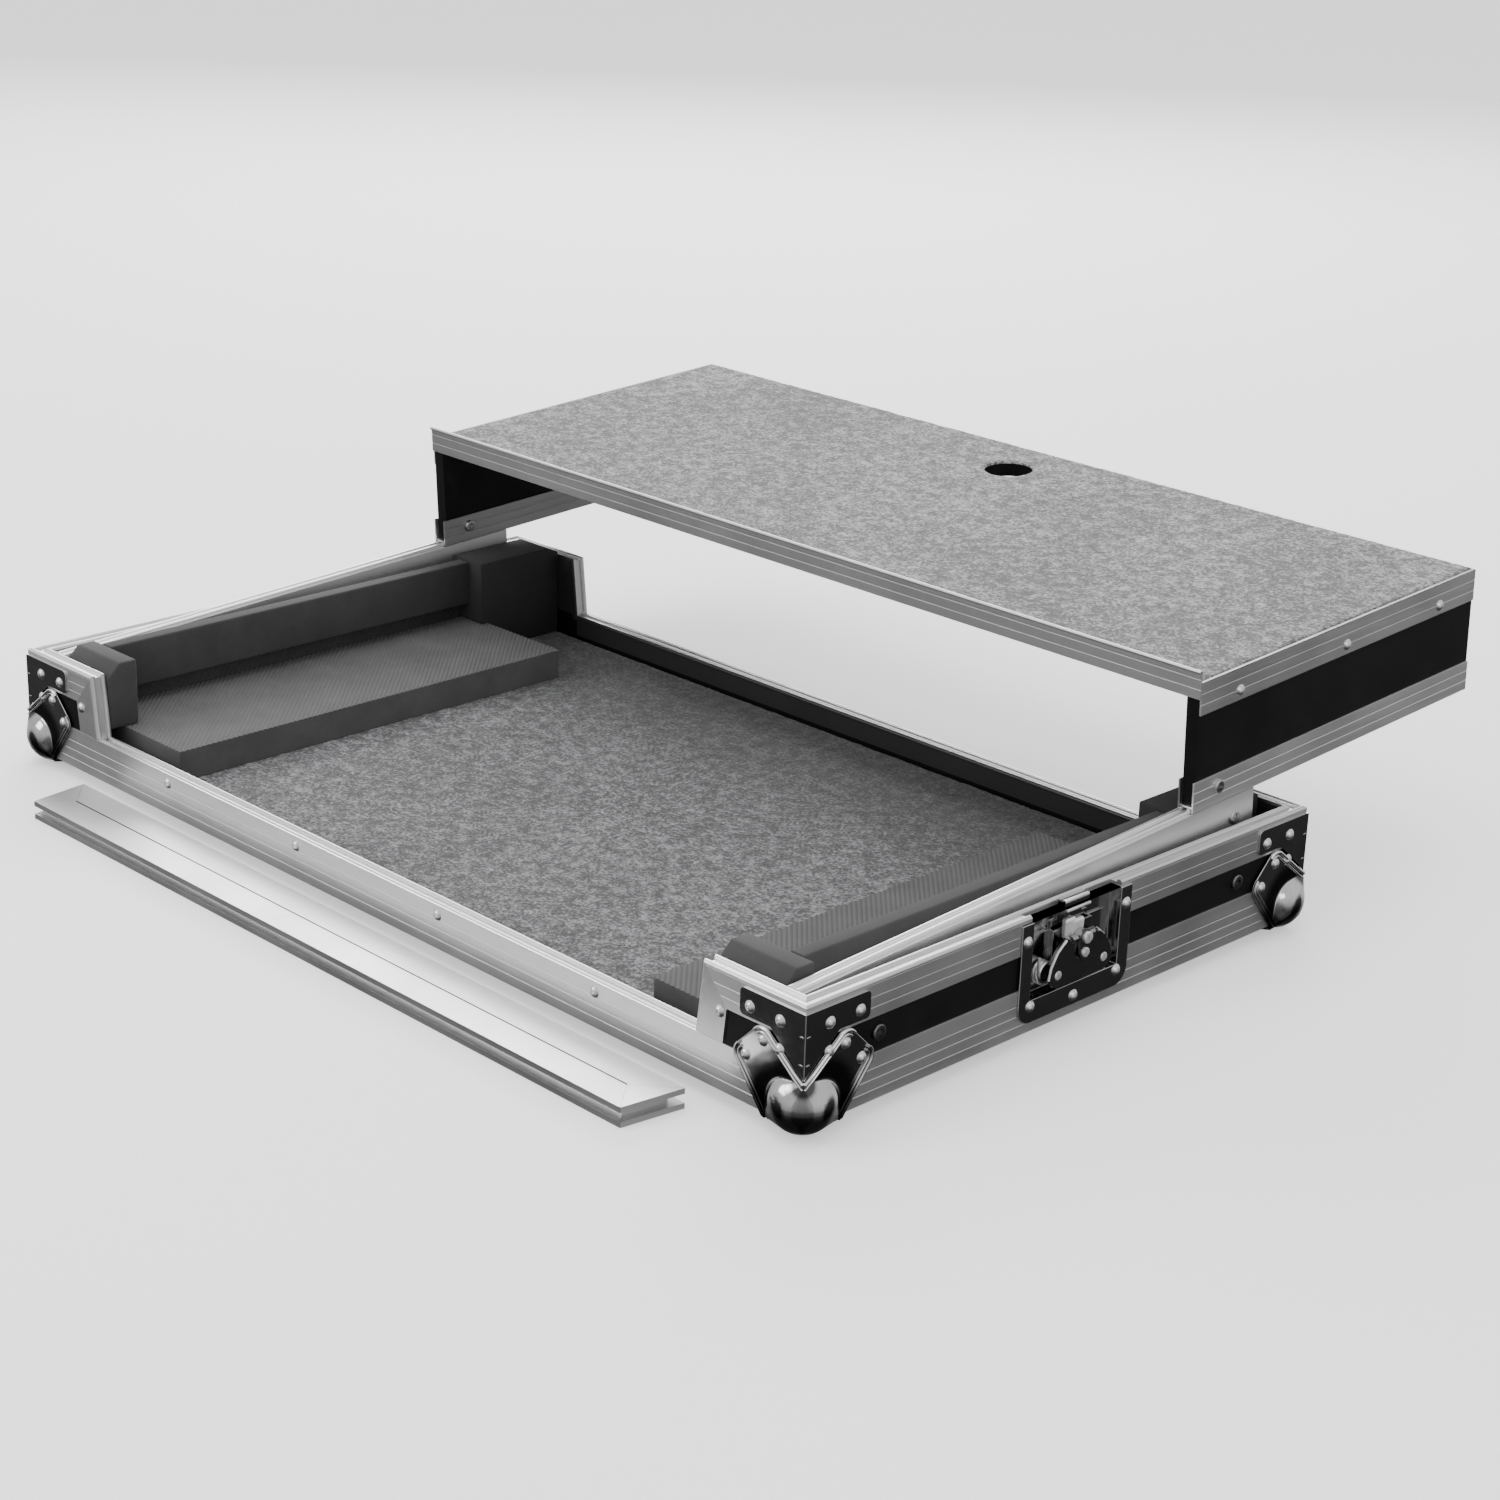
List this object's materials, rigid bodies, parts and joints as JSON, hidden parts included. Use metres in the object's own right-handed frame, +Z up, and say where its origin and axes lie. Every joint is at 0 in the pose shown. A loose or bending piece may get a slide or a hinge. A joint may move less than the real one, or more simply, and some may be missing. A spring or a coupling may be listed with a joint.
{
  "type": "dj controller flight case",
  "caption": "Flight case base for a DJ controller with foam supports, twist latches, a gliding laptop platform on sloped rails and a loose front panel.",
  "frame": {"origin": "centre of the floor panel's underside", "axes": "+X towards the right end wall, +Y towards the rear, +Z up"},
  "size_m": [0.9892, 0.8877, 0.2483],
  "materials": {
    "black_board": "black laminate with a fine pebble grain",
    "bare_alu": "satin extruded aluminium",
    "floor_carpet": "speckled grey needle-felt carpet",
    "top_carpet": "speckled grey needle-felt carpet",
    "chrome_ball": "polished chromed steel",
    "dark_plate": "polished plated steel",
    "rivet": "bright rivet heads",
    "bolt": "blackened bolt heads",
    "foam_grey": "ribbed dark grey foam",
    "foam_black": "cut foam with a closed skin",
    "latch_bright": "bright cast and plated steel",
    "spring_steel": "bright spring wire"
  },
  "bodies": {
    "case": {"floor_panel": "black_board", "floor_carpet": "floor_carpet", "wall_front": "black_board", "wall_rear": "black_board", "wall_left": "black_board", "wall_right": "black_board", "base_edge_front": "bare_alu", "base_edge_rear": "bare_alu", "base_edge_left": "bare_alu", "base_edge_right": "bare_alu", "rim_edge_left": "bare_alu", "rim_edge_right": "bare_alu", "front_rim_edges": "bare_alu", "rear_rim_edges": "bare_alu", "front_cutout_edges": "bare_alu", "rear_cutout_edges": "bare_alu", "ball_corner_front_left": "chrome_ball", "ball_corner_front_right": "chrome_ball", "ball_corner_rear_left": "chrome_ball", "ball_corner_rear_right": "chrome_ball", "corner_bracket_front_left": "dark_plate", "corner_bracket_front_right": "dark_plate", "corner_bracket_rear_left": "dark_plate", "corner_bracket_rear_right": "dark_plate", "rail_board_left": "black_board", "rail_board_right": "black_board", "rail_track_left": "bare_alu", "rail_track_right": "bare_alu", "rail_fillers": "black_board", "foam_pad_left": "foam_grey", "foam_pad_right": "foam_grey", "foam_bars": "foam_black", "foam_strips": "foam_black", "front_foam_blocks": "foam_black", "rear_foam_blocks": "foam_black", "case_rivets": "rivet", "rail_bolts": "bolt", "rail_stop_screws": "rivet", "latch_dish_right": "dark_plate", "latch_frame_right": "dark_plate", "latch_spring_right": "spring_steel", "latch_dish_left": "dark_plate", "latch_frame_left": "dark_plate", "latch_spring_left": "spring_steel"},
    "platform": {"platform_board": "black_board", "platform_carpet": "top_carpet", "platform_front_edge": "bare_alu", "platform_side_edges": "bare_alu", "platform_side_boards": "black_board", "runner_channels": "bare_alu", "platform_rivets": "rivet", "channel_screws": "rivet"},
    "front_panel": {"panel_edges": "bare_alu", "panel_core": "black_board"},
    "hook_right": {"latch_hook_right": "latch_bright"},
    "cam_right": {"latch_cam_right": "latch_bright"},
    "wing_right": {"latch_wing_right": "dark_plate"},
    "hook_left": {"latch_hook_left": "latch_bright"},
    "cam_left": {"latch_cam_left": "latch_bright"},
    "wing_left": {"latch_wing_left": "dark_plate"}
  },
  "joints": [
    {"name": "platform_glide", "type": "slide", "parent": "case", "child": "platform", "axis": [0, -0.9987, -0.0506], "range_m": [0, 0.39]},
    {"name": "front_panel_lift", "type": "slide", "parent": "case", "child": "front_panel", "axis": [0, 0, 1], "range_m": [0, 0.15]},
    {"name": "latch_turn_right", "type": "hinge", "parent": "case", "child": "cam_right", "pos_m": [0.48, 0, 0.0525], "axis": [1, 0, 0], "range_deg": [0, 180]},
    {"name": "hook_slide_right", "type": "slide", "parent": "case", "child": "hook_right", "axis": [0, 0, -1], "range_m": [0, 0.0101]},
    {"name": "wing_fold_right", "type": "hinge", "parent": "cam_right", "child": "wing_right", "pos_m": [0.49, 0, 0.0635], "axis": [0, -1, 0], "range_deg": [0, 90]},
    {"name": "latch_turn_left", "type": "hinge", "parent": "case", "child": "cam_left", "pos_m": [-0.48, 0, 0.0525], "axis": [-1, 0, 0], "range_deg": [0, 180]},
    {"name": "hook_slide_left", "type": "slide", "parent": "case", "child": "hook_left", "axis": [0, 0, -1], "range_m": [0, 0.0101]},
    {"name": "wing_fold_left", "type": "hinge", "parent": "cam_left", "child": "wing_left", "pos_m": [-0.49, 0, 0.0635], "axis": [0, 1, 0], "range_deg": [0, 90]}
  ],
  "couplings": [
    {"joint": "hook_slide_right", "follows": "latch_turn_right", "m_per_rad": 0.0031831},
    {"joint": "hook_slide_left", "follows": "latch_turn_left", "m_per_rad": 0.0031831}
  ]
}
